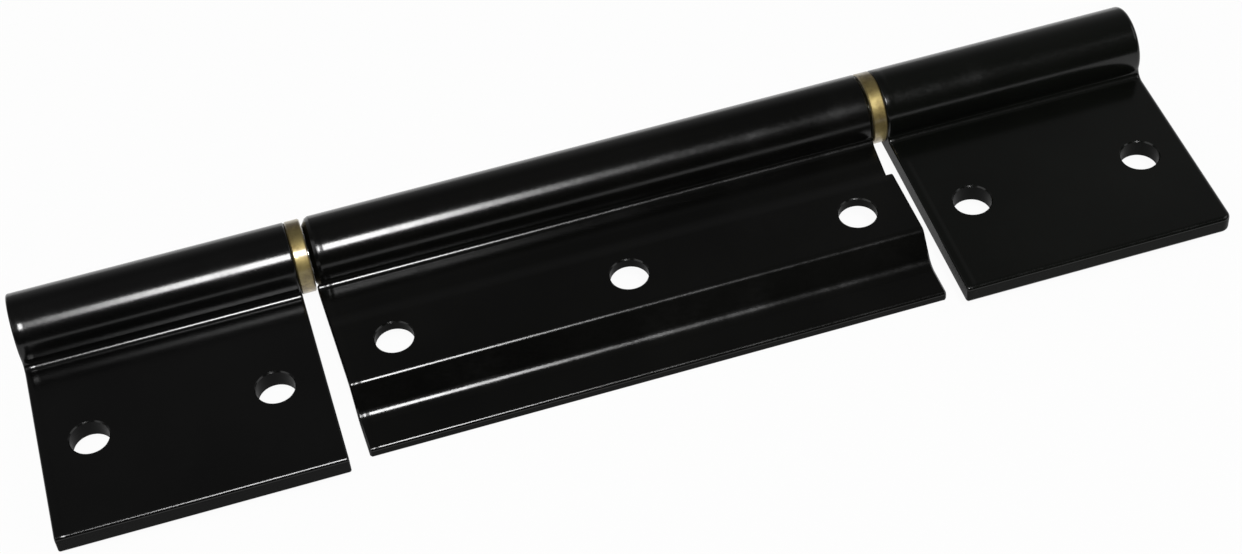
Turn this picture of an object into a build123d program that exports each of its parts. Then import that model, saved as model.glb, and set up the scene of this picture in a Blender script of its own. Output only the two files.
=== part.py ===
from build123d import *
import math
import os

# Three-knuckle hinge, folded so that all three leaves lie on the same side of the pin.
# X runs along the pin, the leaves reach towards -Y, +Z is up.
# The origin is the middle of the hinge in plan, at the height of its lowest face.

# Overall
hinge_length = 200.0
barrel_radius = 6.35
edge_round = 0.4
front_round = 0.8
end_break = 0.3

# Outer leaves
outer_leaf_length = 47.5
outer_leaf_reach = 43.4
outer_hole_front_distance = 18.8
outer_hole_end_distance = 8.35
right_corner_radius = 1.6

# Centre leaf
center_leaf_reach = 39.4
center_leaf_thickness = 2.0
center_hole_spacing = 40.6
center_hole_offset = 0.35
center_overhang = 0.9
notch_reach = 14.9
notch_undercut = 0.65
left_float = 0.15
right_float = 0.3
left_edge_gap = 0.08
left_edge_slant = 1.5
right_edge_slant = 0.85
barrel_step_clearance = 0.1
shoulder_radius = 5.0
shoulder_length = 0.75
left_rim_run = 0.6

# Joggle towards the lower outer flange of the centre leaf
lip_width = 6.7
joggle_run = 3.8
joggle_drop = 5.2
hole_to_joggle = 7.3

# Section
plate_below_pin = 2.85
center_plate_below_pin = 1.8
front_edge_radius = 0.8
front_under_radius = 0.4
root_radius = 1.3
joggle_top_radius = 1.4
joggle_foot_radius = 2.8
screw_hole_radius = 3.3
screw_hole_break = 0.2

# Pin and its bearings
pin_radius = 3.0
pin_end_chamfer = 0.5
pin_seat_clearance = 0.05
running_clearance = 0.04
bush_wall = 1.0
bush_seat_clearance = 0.01
bush_break = 0.2
flange_width = 2.6
flange_break = 0.2
flanged_sleeve_length = 14.0
end_bush_length = 10.0

# End plugs
plug_length = 3.0
plug_recess = 0.3
plug_break = 0.4
plug_dish_radius = 2.2
plug_dish_depth = 0.4
pin_to_plug_gap = 0.2

# Set screws that lock the pin in the centre barrel
set_screw_radius = 2.0
set_screw_clearance = 0.01
set_screw_spacing = 50.0
set_screw_recess = 0.35
set_screw_tip_gap = 0.02
set_screw_break = 0.3
socket_across_flats = 2.0
socket_depth = 1.5

# Two places nearer than this are the same place
same_place = 0.001

# Derived positions
half_length = hinge_length / 2
outer_leaf_thickness = barrel_radius - plate_below_pin
knuckle_bore_radius = pin_radius + running_clearance + bush_wall + bush_seat_clearance
outer_inner_end = half_length - outer_leaf_length
ring_inner_end = outer_inner_end - flange_width
center_left = -ring_inner_end + left_float + shoulder_length
shoulder_rise = barrel_radius - end_break - shoulder_radius
shoulder_taper = math.degrees(math.atan(shoulder_rise / shoulder_length))
center_plate_left = -ring_inner_end + left_edge_gap
center_right = ring_inner_end - right_float
center_plate_right = center_right + center_overhang
center_hole_middle = (center_left + center_right) / 2 + center_hole_offset
outer_hole_reach = outer_leaf_reach - outer_hole_front_distance
joggle_end = center_leaf_reach - lip_width
joggle_start = joggle_end - joggle_run
center_hole_reach = joggle_start - hole_to_joggle
plug_outer = half_length - plug_recess
plug_inner = plug_outer - plug_length
pin_half_length = plug_inner - pin_to_plug_gap
pin_y = (outer_leaf_reach - barrel_radius) / 2
pin_z = center_plate_below_pin + joggle_drop + center_leaf_thickness


def section_plane(x):
    """Cross-section plane at x: local X is the reach from the pin, local Y is the height above it."""
    return Plane(origin=(x, pin_y, pin_z), x_dir=(0, -1, 0), z_dir=(-1, 0, 0))


def plan_plane(height):
    """Horizontal plane at a height above the pin, seen with local Y as the reach from the pin."""
    return Plane(origin=(0, pin_y, pin_z + height), x_dir=(1, 0, 0), z_dir=(0, 0, -1))


def barrel_angle(height):
    """Angle on the barrel, in degrees, where its front is at this height above the pin."""
    return math.degrees(math.asin(height / barrel_radius))


def barrel_point(height):
    """Front point of the barrel's outline at this height above the pin."""
    return (math.sqrt(barrel_radius**2 - height**2), height)


def on_end(edge, left_x, right_x):
    """True for an edge that lies in one of the two end faces."""
    middle = edge.center().X
    return abs(middle - left_x) < same_place or abs(middle - right_x) < same_place


def on_front(edge, level):
    """True for an edge along the front of the plate, or around its rounded corner, at this level."""
    middle = edge.center()
    height = middle.Z - pin_z
    between_ends = edge.bounding_box().size.X > same_place
    near_front = pin_y - middle.Y > outer_leaf_reach - right_corner_radius - same_place
    return abs(height - level) < same_place and between_ends and near_front


def outer_leaf(left_x, right_x, corner_radius):
    """Short leaf: barrel, plate flush with the underside of the barrel, bush bore, two screw holes."""
    plate_top = -plate_below_pin
    plate_foot = -barrel_radius
    root = barrel_point(plate_top)
    top_front = (outer_leaf_reach, plate_top)
    bottom_front = (outer_leaf_reach, plate_foot)
    start_angle = barrel_angle(plate_top)
    length = right_x - left_x
    hole_offset = length / 2 - outer_hole_end_distance
    middle = (left_x + right_x) / 2
    hole_places = [(middle - hole_offset, outer_hole_reach), (middle + hole_offset, outer_hole_reach)]

    with BuildPart() as leaf:
        with BuildSketch(section_plane(right_x)) as section:
            with BuildLine():
                CenterArc((0, 0), barrel_radius, start_angle, 270 - start_angle)
                Polyline((0, plate_foot), bottom_front, top_front, root)
            make_face()
            fillet(section.vertices().sort_by_distance(root)[0], root_radius)
        extrude(amount=length)
        if corner_radius > 0:
            front_corners = leaf.edges().filter_by(Axis.Z).group_by(Axis.Y)[0]
            fillet(front_corners.sort_by(Axis.X)[-1], corner_radius)

        # Every outer edge of the leaf is broken before coating
        leaf_edges = leaf.edges()
        end_edges = leaf_edges.filter_by(lambda edge: on_end(edge, left_x, right_x))
        top_edges = leaf_edges.filter_by(lambda edge: on_front(edge, plate_top))
        foot_edges = leaf_edges.filter_by(lambda edge: on_front(edge, plate_foot))
        fillet(top_edges, front_round)
        fillet(end_edges + foot_edges, edge_round)

        with BuildSketch(section_plane(right_x)):
            Circle(knuckle_bore_radius)
        extrude(amount=length, mode=Mode.SUBTRACT)

        with BuildSketch(plan_plane(plate_top)):
            with Locations(*hole_places):
                Circle(screw_hole_radius)
        extrude(amount=outer_leaf_thickness, mode=Mode.SUBTRACT)
        rims = leaf.edges().filter_by(GeomType.CIRCLE)
        rims = rims.filter_by(lambda edge: abs(edge.radius - screw_hole_radius) < same_place)
        chamfer(rims, screw_hole_break)
    return leaf.part


def flanged_bush(side):
    """Brass bush: sleeve inside the outer knuckle, flange showing as the ring between the barrels."""
    bore_radius = pin_radius + running_clearance
    with BuildPart() as bush:
        with BuildSketch(section_plane(side * ring_inner_end)):
            Circle(barrel_radius)
        extrude(amount=-side * flange_width)
        chamfer(bush.edges().filter_by(GeomType.CIRCLE), flange_break)
        with BuildSketch(section_plane(side * outer_inner_end)):
            Circle(bore_radius + bush_wall)
        extrude(amount=-side * flanged_sleeve_length)
        sleeve_end = bush.faces().sort_by_distance((side * half_length, pin_y, pin_z))[0]
        chamfer(sleeve_end.edges(), bush_break)
        with BuildSketch(section_plane(side * ring_inner_end)):
            Circle(bore_radius)
        extrude(amount=-side * (flange_width + flanged_sleeve_length), mode=Mode.SUBTRACT)
    return bush.part


def end_bush(side):
    """Plain brass sleeve near the outer end of an outer knuckle."""
    bore_radius = pin_radius + running_clearance
    with BuildPart() as bush:
        with BuildSketch(section_plane(side * pin_half_length)):
            Circle(bore_radius + bush_wall)
            Circle(bore_radius, mode=Mode.SUBTRACT)
        extrude(amount=side * end_bush_length)
        chamfer(bush.edges().filter_by(GeomType.CIRCLE), bush_break)
    return bush.part


def end_plug(side):
    """Plug that closes the open end of an outer knuckle, with a shallow dish in its face."""
    with BuildPart() as plug:
        with BuildSketch(section_plane(side * plug_outer)):
            Circle(knuckle_bore_radius - bush_seat_clearance)
        extrude(amount=side * plug_length)
        chamfer(plug.edges().filter_by(GeomType.CIRCLE), plug_break)
        with BuildSketch(section_plane(side * plug_outer)):
            Circle(plug_dish_radius)
        extrude(amount=side * plug_dish_depth, mode=Mode.SUBTRACT)
    return plug.part


def set_screw(x):
    """Headless screw with a hexagon socket, entering the centre barrel from below."""
    head_height = -barrel_radius + set_screw_recess
    tip_height = -pin_radius - set_screw_tip_gap
    with BuildPart() as screw:
        with BuildSketch(plan_plane(tip_height)):
            with Locations((x, 0)):
                Circle(set_screw_radius - set_screw_clearance)
        extrude(amount=tip_height - head_height)
        chamfer(screw.edges().filter_by(GeomType.CIRCLE), set_screw_break)
        with BuildSketch(plan_plane(head_height)):
            with Locations((x, 0)):
                RegularPolygon(socket_across_flats / 2, 6, major_radius=False)
        extrude(amount=-socket_depth, mode=Mode.SUBTRACT)
    return screw.part


# Left and right leaves
left_leaf = outer_leaf(-half_length, -outer_inner_end, 0)
left_leaf.label = "left_leaf"
right_leaf = outer_leaf(outer_inner_end, half_length, right_corner_radius)
right_leaf.label = "right_leaf"

# Centre leaf: barrel, thin plate, sloped web and lower outer flange from one extrusion
main_top = -center_plate_below_pin
main_foot = main_top - center_leaf_thickness
flange_top = main_top - joggle_drop
flange_foot = flange_top - center_leaf_thickness
slope_angle = math.atan2(joggle_drop, joggle_end - joggle_start)
underside_shift = center_leaf_thickness * math.tan(slope_angle / 2)
center_root = barrel_point(main_top)
center_under_root = barrel_point(main_foot)
barrel_step_reach = barrel_radius + barrel_step_clearance
cut_back = -2 * barrel_radius
left_slope = math.tan(math.radians(left_edge_slant))
left_cut_back = center_plate_left - (barrel_step_reach - cut_back) * left_slope
left_cut_front = center_plate_left + (center_leaf_reach - barrel_step_reach) * left_slope
right_slope = math.tan(math.radians(right_edge_slant))
right_cut_back = center_plate_right - (center_leaf_reach - cut_back) * right_slope
web_top = (joggle_start, main_top)
web_foot = (joggle_end, flange_top)
web_under_top = (joggle_start - underside_shift, main_foot)
web_under_foot = (joggle_end - underside_shift, flange_foot)
flange_front_top = (center_leaf_reach, flange_top)
flange_front_foot = (center_leaf_reach, flange_foot)
center_start_angle = barrel_angle(main_top)
center_arc_sweep = 360 + barrel_angle(main_foot) - center_start_angle
center_rounds = [
    (center_root, root_radius),
    (center_under_root, root_radius),
    (web_top, joggle_top_radius),
    (web_foot, joggle_foot_radius),
    (web_under_top, joggle_foot_radius),
    (web_under_foot, joggle_top_radius),
    (flange_front_top, front_edge_radius),
    (flange_front_foot, front_under_radius),
]

with BuildPart() as center_leaf:
    with BuildSketch(section_plane(center_plate_right)) as center_section:
        with BuildLine():
            CenterArc((0, 0), barrel_radius, center_start_angle, center_arc_sweep)
            Polyline(
                center_under_root,
                web_under_top,
                web_under_foot,
                flange_front_foot,
                flange_front_top,
                web_foot,
                web_top,
                center_root,
            )
        make_face()
        for corner, radius in center_rounds:
            fillet(center_section.vertices().sort_by_distance(corner)[0], radius)
    extrude(amount=center_plate_right - left_cut_back)

    # Both ends sawn at a slight slant, and the long edges of the cuts broken
    with BuildSketch(plan_plane(2 * barrel_radius)):
        with BuildLine():
            Polyline(
                (left_cut_back, cut_back),
                (left_cut_front, center_leaf_reach),
                (-half_length, center_leaf_reach),
                (-half_length, cut_back),
                close=True,
            )
        make_face()
        with BuildLine():
            Polyline(
                (right_cut_back, cut_back),
                (center_plate_right, center_leaf_reach),
                (half_length, center_leaf_reach),
                (half_length, cut_back),
                close=True,
            )
        make_face()
    extrude(amount=4 * barrel_radius, mode=Mode.SUBTRACT)
    chamfer(center_leaf.faces().sort_by(Axis.X)[0].outer_wire().edges(), end_break)
    chamfer(center_leaf.faces().sort_by(Axis.X)[-1].outer_wire().edges(), end_break)

    # Barrel stepped back beside the left ring; at the right end the cutter runs on and leaves the notch
    with BuildSketch(plan_plane(2 * barrel_radius)):
        with BuildLine():
            Polyline(
                (center_left, cut_back),
                (center_left, barrel_step_reach),
                (-half_length, barrel_step_reach),
                (-half_length, cut_back),
                close=True,
            )
        make_face()
        with BuildLine():
            Polyline(
                (center_right, cut_back),
                (center_right, barrel_step_reach),
                (center_right - notch_undercut, notch_reach),
                (half_length, notch_reach),
                (half_length, cut_back),
                close=True,
            )
        make_face()
    extrude(amount=4 * barrel_radius, mode=Mode.SUBTRACT)
    barrel_rims = center_leaf.edges().filter_by(GeomType.CIRCLE).filter_by(
        lambda edge: abs(edge.radius - barrel_radius) < same_place and on_end(edge, center_left, center_right)
    )
    left_rim = barrel_rims.filter_by(lambda edge: edge.center().X < 0)
    right_rim = barrel_rims.filter_by(lambda edge: edge.center().X > 0)
    left_end_face = center_leaf.faces().filter_by(Axis.X).filter_by(
        lambda face: abs(face.center().X - center_left) < same_place
    )
    chamfer(right_rim, end_break)
    chamfer(left_rim, end_break, left_rim_run, reference=left_end_face[0])

    # Tapered shoulder running on towards the left ring
    with BuildSketch(section_plane(center_left)):
        Circle(barrel_radius - end_break)
    extrude(amount=shoulder_length, taper=shoulder_taper)

    with BuildSketch(section_plane(center_plate_right)):
        Circle(pin_radius + pin_seat_clearance)
    extrude(amount=center_plate_right - center_plate_left, mode=Mode.SUBTRACT)

    with BuildSketch(plan_plane(main_top)):
        with Locations((center_hole_middle, center_hole_reach)):
            with GridLocations(center_hole_spacing, 1, 3, 1):
                Circle(screw_hole_radius)
    extrude(amount=center_leaf_thickness, mode=Mode.SUBTRACT)
    center_rims = center_leaf.edges().filter_by(GeomType.CIRCLE)
    center_rims = center_rims.filter_by(lambda edge: abs(edge.radius - screw_hole_radius) < same_place)
    chamfer(center_rims, screw_hole_break)

    # Tapped holes for the two set screws, open to the pin bore from below
    with BuildSketch(plan_plane(-pin_radius / 2)):
        with GridLocations(set_screw_spacing, 1, 2, 1):
            Circle(set_screw_radius)
    extrude(amount=barrel_radius, mode=Mode.SUBTRACT)
center_leaf.part.label = "center_leaf"

# Pin, locked in the centre barrel and turning in the four bushes
with BuildPart() as hinge_pin:
    with BuildSketch(section_plane(pin_half_length)):
        Circle(pin_radius)
    extrude(amount=2 * pin_half_length)
    chamfer(hinge_pin.edges().filter_by(GeomType.CIRCLE), pin_end_chamfer)
hinge_pin.part.label = "hinge_pin"

left_flanged_bush = flanged_bush(-1)
left_flanged_bush.label = "left_flanged_bush"
right_flanged_bush = flanged_bush(1)
right_flanged_bush.label = "right_flanged_bush"
left_end_bush = end_bush(-1)
left_end_bush.label = "left_end_bush"
right_end_bush = end_bush(1)
right_end_bush.label = "right_end_bush"
left_end_plug = end_plug(-1)
left_end_plug.label = "left_end_plug"
right_end_plug = end_plug(1)
right_end_plug.label = "right_end_plug"
left_set_screw = set_screw(-set_screw_spacing / 2)
left_set_screw.label = "left_set_screw"
right_set_screw = set_screw(set_screw_spacing / 2)
right_set_screw.label = "right_set_screw"

os.makedirs("parts", exist_ok=True)
export_step(left_leaf, "parts/left_leaf.step")
export_step(center_leaf.part, "parts/center_leaf.step")
export_step(right_leaf, "parts/right_leaf.step")
export_step(hinge_pin.part, "parts/hinge_pin.step")
export_step(left_flanged_bush, "parts/left_flanged_bush.step")
export_step(right_flanged_bush, "parts/right_flanged_bush.step")
export_step(left_end_bush, "parts/left_end_bush.step")
export_step(right_end_bush, "parts/right_end_bush.step")
export_step(left_end_plug, "parts/left_end_plug.step")
export_step(right_end_plug, "parts/right_end_plug.step")
export_step(left_set_screw, "parts/left_set_screw.step")
export_step(right_set_screw, "parts/right_set_screw.step")
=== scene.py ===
"""Looks of a three-knuckle hinge: gloss black coated aluminium leaves with brass bearing rings."""

import math

import bpy
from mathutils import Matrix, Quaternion, Vector


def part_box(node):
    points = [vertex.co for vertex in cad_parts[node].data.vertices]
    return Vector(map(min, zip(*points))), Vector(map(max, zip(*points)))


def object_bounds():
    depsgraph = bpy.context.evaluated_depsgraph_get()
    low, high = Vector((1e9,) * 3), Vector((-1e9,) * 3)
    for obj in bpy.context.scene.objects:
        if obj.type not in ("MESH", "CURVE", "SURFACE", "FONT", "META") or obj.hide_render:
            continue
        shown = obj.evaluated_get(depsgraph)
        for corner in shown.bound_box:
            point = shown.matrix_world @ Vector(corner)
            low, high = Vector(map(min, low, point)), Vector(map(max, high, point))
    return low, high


MM = 0.001

# Camera, in the frame of the hinge
CAMERA_PLACE = Vector((-59.3, -276.0, 311.4)) * MM
CAMERA_AIM = Vector((-1.2, -4.9, 9.0)) * MM
CAMERA_ROLL = math.radians(-6.0)
CAMERA_LENS = 71.5
SENSOR_WIDTH = 36.0

# Lamps: direction of the lamp from the hinge, its distance, size and brightness
KEY_ELEVATION = math.radians(54.4)
KEY_OFFSET_X = 0.01
KEY_DISTANCE = 3.0
KEY_SIZE = (0.42, 0.84)
KEY_RADIANCE = 54.0
SIDE_ELEVATION = math.radians(42)
SIDE_DISTANCE = 2.6
SIDE_SIZE = (1.7, 1.5)
SIDE_RADIANCE = 1.3

# Gloss black coating
COAT_IOR = 1.4
COAT_SPECULAR = 0.5
COAT_RUBBED = (0.020, 0.020, 0.019, 1)
COAT_CLOUD_SCALE = 38.0
COAT_SPECK_SCALE = 1700.0
COAT_SMUDGE_SCALE = 75.0
COAT_SMOOTH = 0.0
COAT_SMUDGED = 0.07
COAT_EDGE_RADIUS = 0.25 * MM
COAT_EDGE_ROUGHNESS = 0.03
PEEL_SCALE = 620.0
PEEL_DEPTH = 0.0022 * MM
DIE_LINE_SCALE = (14.0, 1500.0, 1500.0)
DIE_LINE_DEPTH = 0.0009 * MM
CUT_FACE_ROUGHNESS = 0.22
CUT_FACE_SPECULAR = 0.08
CUT_FACE_FADE = 0.3 * MM
UPRIGHT_FROM = 0.15
UPRIGHT_TO = 0.3
VALLEY_DEPTH = 0.15 * MM
VALLEY_HALF_WIDTH = 2.6 * MM
VALLEY_REACH = 13.9 * MM
BEAD_HALF_WIDTH = 0.9 * MM
BEAD_HEIGHT = 0.035 * MM
OUTER_BEAD_IN = 1.1 * MM
CENTER_BEAD_IN = 1.8 * MM

# Sizes of the hinge that the coating follows
BARREL_RADIUS = 6.35 * MM
OUTER_PLATE_BELOW_TOP = 9.2 * MM
CENTER_PLATE_BELOW_TOP = 8.15 * MM

# Leaves: darker and lighter tone of each coating, varying at random; besides that, the right leaf's tones are
# set lighter and the centre leaf's darker, as painted light and painted shade on one and the same coating
LEAF_TONES_AND_PAINTED_LIGHT = (
    ("left_leaf", (0.0020, 0.0020, 0.0020), (0.0034, 0.0034, 0.0033)),
    ("center_leaf", (0.0018, 0.0018, 0.0016), (0.0032, 0.0032, 0.0028)),
    ("right_leaf", (0.0026, 0.0029, 0.0024), (0.0042, 0.0046, 0.0038)),
)

# Brass, steel and nylon
BRASS_BRIGHT = (0.42, 0.335, 0.135)
BRASS_DULL = (0.18, 0.128, 0.045)
BRASS_EDGE = (0.075, 0.045, 0.017, 1)
BRASS_EDGE_SHARE = 0.55
BRASS_LACQUER = 1.0
BRASS_LACQUER_ROUGHNESS = 0.20
RING_GROOVE_PITCH = 0.09 * MM
RING_GROOVE_DEPTH = 0.006 * MM
RING_SHADE = 0.95
BUSH_GROOVE_PITCH = 0.12 * MM
BUSH_GROOVE_DEPTH = 0.008 * MM
BUSH_SHADE = 1.0
STEEL_BRIGHT = (0.60, 0.60, 0.58, 1)
STEEL_DULL = (0.48, 0.48, 0.47, 1)
NYLON_DARK = (0.012, 0.012, 0.013, 1)
NYLON_LIGHT = (0.026, 0.026, 0.027, 1)
OXIDE_DARK = (0.035, 0.035, 0.038, 1)
OXIDE_LIGHT = (0.075, 0.074, 0.074, 1)
OXIDE_RUBBED = (0.30, 0.29, 0.28, 1)

# Floor and studio
LOW_WALL_STOPS = [(0.0, 0.42), (0.17, 0.30), (0.42, 0.20), (0.62, 0.10), (0.80, 0.02)]
RIGHT_GLOW = 0.13
OVERHEAD_GLOW = 0.11
ROOM_DARKEST = 0.010
ROOM_PALEST = 0.024

FLOOR_RADIUS = 12.0
FLOOR_SIDES = 96
FLOOR_DROP = 0.02 * MM
FLOOR_COLOUR = (0.82, 0.82, 0.81, 1)
FLOOR_WHITE_SHARE = 0.95

SEE_WHITE_RAYS = ("Is Camera Ray", "Is Glossy Ray", "Is Transmission Ray")


class Graph:
    """Adds nodes to one node tree and joins them."""

    def __init__(self, tree):
        self.tree = tree

    def node(self, kind, inputs=None, **settings):
        made = self.tree.nodes.new(kind)
        for name, value in settings.items():
            setattr(made, name, value)
        for name, value in (inputs or {}).items():
            socket = made.inputs[name]
            if isinstance(value, bpy.types.NodeSocket):
                self.tree.links.new(value, socket)
            else:
                socket.default_value = value
        return made

    def math(self, operation, first, second=0.0, third=0.0):
        inputs = {0: first, 1: second, 2: third}
        return self.node("ShaderNodeMath", inputs, operation=operation).outputs[0]

    def ramp(self, value, stops, interpolation="LINEAR"):
        """Colour ramp over (position, grey or colour) stops."""
        made = self.node("ShaderNodeValToRGB", {"Fac": value})
        elements = made.color_ramp.elements
        made.color_ramp.interpolation = interpolation
        while len(elements) < len(stops):
            elements.new(1.0)
        for element, (position, colour) in zip(elements, stops):
            element.position = position
            grey = isinstance(colour, (int, float))
            element.color = (colour, colour, colour, 1) if grey else (*colour, 1)
        return made.outputs["Color"]

    def between(self, value, low, high, from_low=0.0, from_high=1.0):
        """value mapped from one range to another, clamped."""
        inputs = {"Value": value, "From Min": from_low, "From Max": from_high, "To Min": low, "To Max": high}
        return self.node("ShaderNodeMapRange", inputs).outputs["Result"]

    def eased(self, value):
        """value from 0 to 1 with soft ends."""
        made = self.node("ShaderNodeMapRange", {"Value": value}, interpolation_type="SMOOTHSTEP")
        return made.outputs["Result"]

    def noise(self, place, scale, detail=2.0, roughness=0.5):
        inputs = {"Vector": place, "Scale": scale, "Detail": detail, "Roughness": roughness}
        return self.node("ShaderNodeTexNoise", inputs).outputs["Fac"]

    def stretched(self, place, scale):
        inputs = {"Vector": place, "Scale": scale}
        return self.node("ShaderNodeMapping", inputs).outputs["Vector"]

    def bump(self, height, depth, normal=None):
        """Bump whose height of 1 stands depth metres proud."""
        inputs = {"Height": height, "Distance": depth, "Strength": 1.0}
        if normal is not None:
            inputs["Normal"] = normal
        return self.node("ShaderNodeBump", inputs).outputs["Normal"]

    def mix(self, share, first, second):
        inputs = {"Factor": share, "A": first, "B": second}
        made = self.node("ShaderNodeMix", data_type="RGBA")
        for name, value in inputs.items():
            socket = next(s for s in made.inputs if s.name == name and s.enabled)
            if isinstance(value, bpy.types.NodeSocket):
                self.tree.links.new(value, socket)
            else:
                socket.default_value = value
        return next(s for s in made.outputs if s.enabled)


def new_material(name):
    """Empty node material and its graph."""
    material = bpy.data.materials.new(name)
    material.use_nodes = True
    material.node_tree.nodes.clear()
    return material, Graph(material.node_tree)


def finish_material(material, graph, inputs):
    shader = graph.node("ShaderNodeBsdfPrincipled", inputs)
    output = graph.node("ShaderNodeOutputMaterial")
    graph.tree.links.new(shader.outputs["BSDF"], output.inputs["Surface"])
    material.diffuse_color = (*shader.inputs["Base Color"].default_value[:3], 1)
    return material


def edge_share(graph, radius, low, high):
    """1 on outer edges rounder than radius, 0 on flat faces."""
    bevel = graph.node("ShaderNodeBevel", {"Radius": radius}, samples=6)
    geometry = graph.node("ShaderNodeNewGeometry")
    dot = graph.node("ShaderNodeVectorMath", {0: bevel.outputs["Normal"], 1: geometry.outputs["Normal"]})
    dot.operation = "DOT_PRODUCT"
    return graph.between(dot.outputs["Value"], 1.0, 0.0, low, high)


def cut_faces(graph, plate_top):
    """1 on the upright faces of the plate: its ends, its front and the walls of its holes."""
    coordinates = graph.node("ShaderNodeTexCoord").outputs
    facing_up = graph.node("ShaderNodeSeparateXYZ", {0: coordinates["Normal"]}).outputs["Z"]
    upright = graph.between(graph.math("ABSOLUTE", facing_up), 1.0, 0.0, UPRIGHT_FROM, UPRIGHT_TO)
    height = graph.node("ShaderNodeSeparateXYZ", {0: coordinates["Object"]}).outputs["Z"]
    below_top = graph.between(height, 1.0, 0.0, plate_top, plate_top + CUT_FACE_FADE)
    return graph.math("MULTIPLY", upright, below_top)


def gloss_coat(name, bead_x, plate_top, dark, light, valley=None):
    """Gloss black coating: orange peel, die lines along X, thicker bead by the left cut, duller cut faces."""
    material, graph = new_material(name)
    place = graph.node("ShaderNodeTexCoord").outputs["Object"]
    cloud = graph.noise(place, COAT_CLOUD_SCALE, 3.0)
    speck = graph.noise(place, COAT_SPECK_SCALE, 2.0)
    smudge = graph.noise(graph.stretched(place, (1.0, 0.6, 1.0)), COAT_SMUDGE_SCALE, 5.0, 0.62)

    tone = graph.between(cloud, 0.0, 1.0, 0.35, 0.68)
    # base colour: random tone between dark and light, whose values also carry each leaf's painted light or
    # painted shade
    base = graph.mix(tone, (*dark, 1), (*light, 1))
    worn = edge_share(graph, COAT_EDGE_RADIUS, 0.90, 0.995)
    rubbed = graph.math("MULTIPLY", worn, graph.between(speck, 0.0, 0.5, 0.45, 0.7))
    base = graph.mix(rubbed, base, COAT_RUBBED)

    handled = graph.between(smudge, COAT_SMOOTH, COAT_SMUDGED, 0.52, 0.72)
    roughness = graph.math("ADD", graph.between(speck, 0.145, 0.185, 0.3, 0.7), handled)
    roughness = graph.math("ADD", roughness, graph.math("MULTIPLY", worn, COAT_EDGE_ROUGHNESS))
    cut = cut_faces(graph, plate_top)
    roughness = graph.math("ADD", roughness, graph.math("MULTIPLY", cut, CUT_FACE_ROUGHNESS))
    specular = graph.between(cut, COAT_SPECULAR, CUT_FACE_SPECULAR)

    peel = graph.noise(place, PEEL_SCALE, 1.0)
    normal = graph.bump(peel, PEEL_DEPTH)
    lines = graph.noise(graph.stretched(place, DIE_LINE_SCALE), 1.0, 2.0)
    normal = graph.bump(lines, DIE_LINE_DEPTH, normal)

    along = graph.node("ShaderNodeSeparateXYZ", {0: place}).outputs["X"]
    from_bead = graph.math("ABSOLUTE", graph.math("SUBTRACT", along, bead_x))
    bead = graph.between(from_bead, 1.0, 0.0, 0.0, BEAD_HALF_WIDTH)
    normal = graph.bump(graph.eased(bead), BEAD_HEIGHT, normal)

    if valley is not None:
        across = graph.node("ShaderNodeSeparateXYZ", {0: place}).outputs["Y"]
        offset = graph.math("SUBTRACT", across, valley)
        inside = graph.between(graph.math("ABSOLUTE", offset), 0.0, 1.0, 0.0, VALLEY_HALF_WIDTH)
        normal = graph.bump(graph.eased(inside), VALLEY_DEPTH, normal)

    inputs = {"Base Color": base, "Roughness": roughness, "IOR": COAT_IOR, "Normal": normal}
    inputs["Specular IOR Level"] = specular
    return finish_material(material, graph, inputs)


def turned_brass(name, groove_pitch, groove_depth, shade):
    """Turned brass under clear lacquer: fine grooves round the pin axis, browner towards its edges."""
    material, graph = new_material(name)
    place = graph.node("ShaderNodeTexCoord").outputs["Object"]
    grooves = graph.noise(graph.stretched(place, (1.0 / groove_pitch, 60.0, 60.0)), 1.0, 3.0, 0.6)
    cloud = graph.noise(place, 260.0, 4.0, 0.6)
    tarnish = graph.between(cloud, 0.0, 1.0, 0.40, 0.64)
    bright = tuple(shade * c for c in BRASS_BRIGHT)
    dull = tuple(shade * c for c in BRASS_DULL)
    base = graph.mix(tarnish, (*bright, 1), (*dull, 1))
    edge = edge_share(graph, 0.3 * MM, 0.92, 0.998)
    base = graph.mix(graph.math("MULTIPLY", edge, BRASS_EDGE_SHARE), base, BRASS_EDGE)
    roughness = graph.between(grooves, 0.40, 0.52, 0.25, 0.75)
    roughness = graph.math("ADD", roughness, graph.math("MULTIPLY", tarnish, 0.10))
    normal = graph.bump(grooves, groove_depth)
    inputs = {"Base Color": base, "Metallic": 1.0, "Roughness": roughness, "Normal": normal}
    inputs.update({"Coat Weight": BRASS_LACQUER, "Coat Roughness": BRASS_LACQUER_ROUGHNESS})
    return finish_material(material, graph, inputs)


def ground_steel(name):
    """Centreless-ground pin: bright, with fine rings round the axis."""
    material, graph = new_material(name)
    place = graph.node("ShaderNodeTexCoord").outputs["Object"]
    rings = graph.noise(graph.stretched(place, (9000.0, 90.0, 90.0)), 1.0, 2.0)
    cloud = graph.noise(place, 150.0, 3.0)
    base = graph.mix(graph.between(cloud, 0.0, 1.0, 0.3, 0.7), STEEL_BRIGHT, STEEL_DULL)
    roughness = graph.between(rings, 0.18, 0.32, 0.3, 0.7)
    normal = graph.bump(rings, 0.0012 * MM)
    return finish_material(
        material, graph, {"Base Color": base, "Metallic": 1.0, "Roughness": roughness, "Normal": normal}
    )


def moulded_nylon(name):
    """Black moulded nylon with a fine spark-eroded texture."""
    material, graph = new_material(name)
    place = graph.node("ShaderNodeTexCoord").outputs["Object"]
    grain = graph.noise(place, 2600.0, 3.0, 0.6)
    cloud = graph.noise(place, 190.0, 2.0)
    base = graph.mix(cloud, NYLON_DARK, NYLON_LIGHT)
    roughness = graph.between(grain, 0.48, 0.66, 0.3, 0.7)
    normal = graph.bump(grain, 0.012 * MM)
    return finish_material(material, graph, {"Base Color": base, "Roughness": roughness, "Normal": normal})


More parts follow.
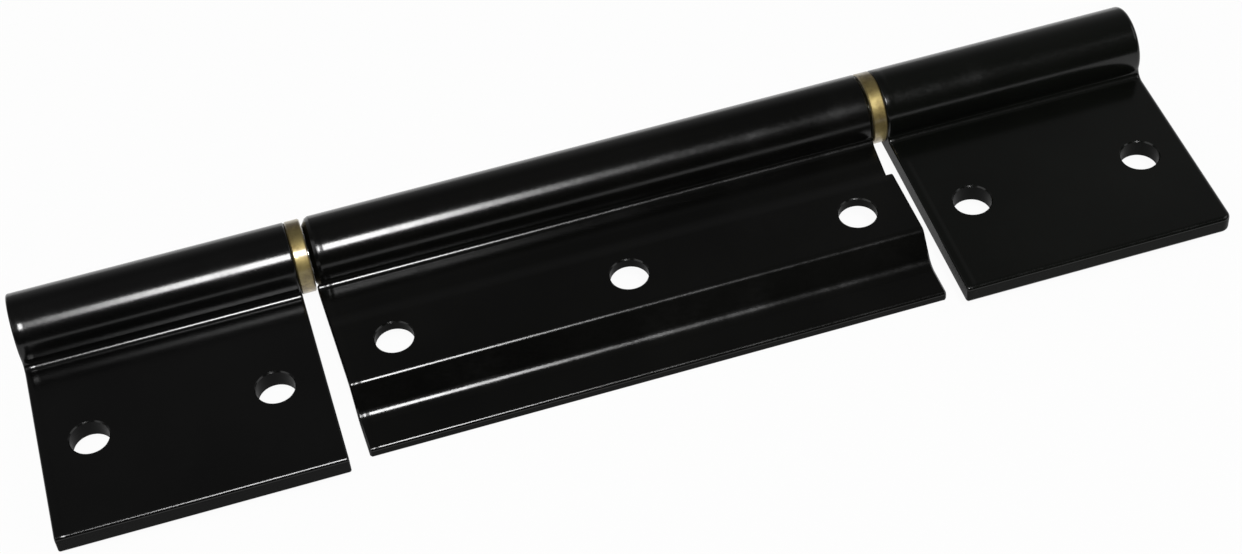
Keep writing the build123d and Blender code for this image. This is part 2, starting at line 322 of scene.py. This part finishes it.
def black_oxide(name):
    """Oil-black steel of the set screws, paler where the key has rubbed its edges."""
    material, graph = new_material(name)
    place = graph.node("ShaderNodeTexCoord").outputs["Object"]
    grain = graph.noise(place, 1500.0, 4.0, 0.6)
    base = graph.mix(grain, OXIDE_DARK, OXIDE_LIGHT)
    edge = edge_share(graph, 0.15 * MM, 0.9, 0.99)
    base = graph.mix(graph.math("MULTIPLY", edge, grain), base, OXIDE_RUBBED)
    roughness = graph.between(grain, 0.30, 0.48, 0.3, 0.7)
    normal = graph.bump(grain, 0.004 * MM)
    return finish_material(
        material, graph, {"Base Color": base, "Metallic": 0.85, "Roughness": roughness, "Normal": normal}
    )


def paint(node, material):
    """Gives a CAD node its material."""
    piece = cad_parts[node]
    for slot in piece.material_slots:
        slot.material = material


def area_lamp(name, direction, distance, size, radiance, aim):
    """Rectangular lamp facing aim; radiance is what a mirror turned to it would show."""
    data = bpy.data.lights.new(name, "AREA")
    data.shape = "RECTANGLE"
    data.size = size[0]
    data.size_y = size[1]
    data.energy = radiance * math.pi * size[0] * size[1]
    lamp = bpy.data.objects.new(name, data)
    bpy.context.scene.collection.objects.link(lamp)
    lamp.location = aim + direction.normalized() * distance
    lamp.rotation_mode = "QUATERNION"
    lamp.rotation_quaternion = (-direction).to_track_quat("-Z", "Y")
    lamp.visible_camera = False
    return lamp


def make_floor(height):
    """Round pale floor, white where it is seen or mirrored and plain where it lights the hinge."""
    mesh = bpy.data.meshes.new("floor")
    turns = [2 * math.pi * i / FLOOR_SIDES for i in range(FLOOR_SIDES)]
    rim = [(FLOOR_RADIUS * math.cos(t), FLOOR_RADIUS * math.sin(t), height) for t in turns]
    mesh.from_pydata(rim, [], [list(range(FLOOR_SIDES))])
    floor = bpy.data.objects.new("floor", mesh)
    bpy.context.scene.collection.objects.link(floor)

    material, graph = new_material("pale_floor")
    path = graph.node("ShaderNodeLightPath").outputs
    seen = path[SEE_WHITE_RAYS[0]]
    for ray in SEE_WHITE_RAYS[1:]:
        seen = graph.math("MAXIMUM", seen, path[ray])
    share = graph.math("MULTIPLY", seen, FLOOR_WHITE_SHARE)
    plain = graph.node("ShaderNodeBsdfDiffuse", {"Color": FLOOR_COLOUR})
    white = graph.node("ShaderNodeEmission", {"Color": (1, 1, 1, 1), "Strength": 1.0})
    mixed = graph.node("ShaderNodeMixShader", {0: share, 1: plain.outputs[0], 2: white.outputs[0]})
    output = graph.node("ShaderNodeOutputMaterial")
    graph.tree.links.new(mixed.outputs[0], output.inputs["Surface"])
    mesh.materials.append(material)
    return floor


def make_world():
    """Dim studio: pale low down behind the hinge, a faint glow overhead, darkest towards the camera."""
    world = bpy.data.worlds.new("studio")
    world.use_nodes = True
    world.node_tree.nodes.clear()
    bpy.context.scene.world = world
    graph = Graph(world.node_tree)
    direction = graph.node("ShaderNodeTexCoord").outputs["Generated"]
    parts = graph.node("ShaderNodeSeparateXYZ", {0: direction}).outputs
    low_wall = graph.ramp(parts["Z"], LOW_WALL_STOPS)
    behind = graph.between(parts["Y"], 0.0, 1.0, -0.1, 0.45)
    back_glow = graph.math("MULTIPLY", low_wall, behind)
    right_glow = graph.math("MULTIPLY", graph.between(parts["X"], 0.0, RIGHT_GLOW, 0.26, 0.46), behind)
    overhead = graph.between(parts["Z"], 0.0, OVERHEAD_GLOW, 0.62, 0.97)
    left_glow = graph.math("MULTIPLY", overhead, graph.between(parts["X"], 1.0, 0.25, -0.1, 0.30))
    total = graph.math("ADD", graph.math("ADD", back_glow, right_glow), left_glow)
    total = graph.math("ADD", total, graph.between(parts["Y"], ROOM_DARKEST, ROOM_PALEST, -0.9, 0.0))
    background = graph.node("ShaderNodeBackground", {"Color": (1, 1, 1, 1), "Strength": total})
    output = graph.node("ShaderNodeOutputWorld")
    graph.tree.links.new(background.outputs[0], output.inputs["Surface"])


def make_camera():
    data = bpy.data.cameras.new("camera")
    data.sensor_width = SENSOR_WIDTH
    data.lens = CAMERA_LENS
    data.clip_start = 0.01
    data.clip_end = 100.0
    camera = bpy.data.objects.new("camera", data)
    bpy.context.scene.collection.objects.link(camera)
    camera.location = CAMERA_PLACE
    camera.rotation_mode = "QUATERNION"
    level = (CAMERA_AIM - CAMERA_PLACE).to_track_quat("-Z", "Y")
    camera.rotation_quaternion = level @ Quaternion((0, 0, 1), CAMERA_ROLL)
    bpy.context.scene.camera = camera


def sideways(elevation, side):
    """Direction at an elevation above +X (side 1) or -X (side -1)."""
    return Vector((side * math.cos(elevation), -0.25, math.sin(elevation)))


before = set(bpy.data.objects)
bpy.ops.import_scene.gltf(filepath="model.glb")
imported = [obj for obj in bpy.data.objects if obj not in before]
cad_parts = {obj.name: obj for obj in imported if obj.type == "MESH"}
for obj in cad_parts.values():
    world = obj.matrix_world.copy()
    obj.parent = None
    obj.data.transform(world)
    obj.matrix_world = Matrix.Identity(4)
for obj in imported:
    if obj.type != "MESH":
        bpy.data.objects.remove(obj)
cad_low, cad_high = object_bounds()
bpy.context.scene.view_settings.view_transform = "Standard"

# each leaf's tones hold painted light: the right leaf is set lighter and the centre leaf darker
for leaf, dark, light in LEAF_TONES_AND_PAINTED_LIGHT:
    low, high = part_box(leaf)
    center = leaf == "center_leaf"
    plate_top = high.z - (CENTER_PLATE_BELOW_TOP if center else OUTER_PLATE_BELOW_TOP)
    valley = high.y - BARREL_RADIUS - VALLEY_REACH if center else None
    bead_x = low.x + (CENTER_BEAD_IN if center else OUTER_BEAD_IN)
    coat = gloss_coat(f"{leaf}_gloss_black", bead_x, plate_top, dark, light, valley)
    paint(leaf, coat)

ring_brass = turned_brass("ring_brass", RING_GROOVE_PITCH, RING_GROOVE_DEPTH, RING_SHADE)
bush_brass = turned_brass("bush_brass", BUSH_GROOVE_PITCH, BUSH_GROOVE_DEPTH, BUSH_SHADE)
pin_steel = ground_steel("ground_pin_steel")
plug_nylon = moulded_nylon("black_nylon")
screw_oxide = black_oxide("set_screw_oxide")
paint("hinge_pin", pin_steel)
for side in ("left", "right"):
    paint(f"{side}_flanged_bush", ring_brass)
    paint(f"{side}_end_bush", bush_brass)
    paint(f"{side}_end_plug", plug_nylon)
    paint(f"{side}_set_screw", screw_oxide)

middle = (cad_low + cad_high) / 2
key_aim = Vector((0.0, middle.y, middle.z))
key_direction = Vector((KEY_OFFSET_X / KEY_DISTANCE, -math.cos(KEY_ELEVATION), math.sin(KEY_ELEVATION)))
area_lamp("key_softbox", key_direction, KEY_DISTANCE, KEY_SIZE, KEY_RADIANCE, key_aim)
for side, name in ((-1, "left_softbox"), (1, "right_softbox")):
    area_lamp(name, sideways(SIDE_ELEVATION, side), SIDE_DISTANCE, SIDE_SIZE, SIDE_RADIANCE, middle)
make_world()
make_floor(cad_low.z - FLOOR_DROP)
make_camera()
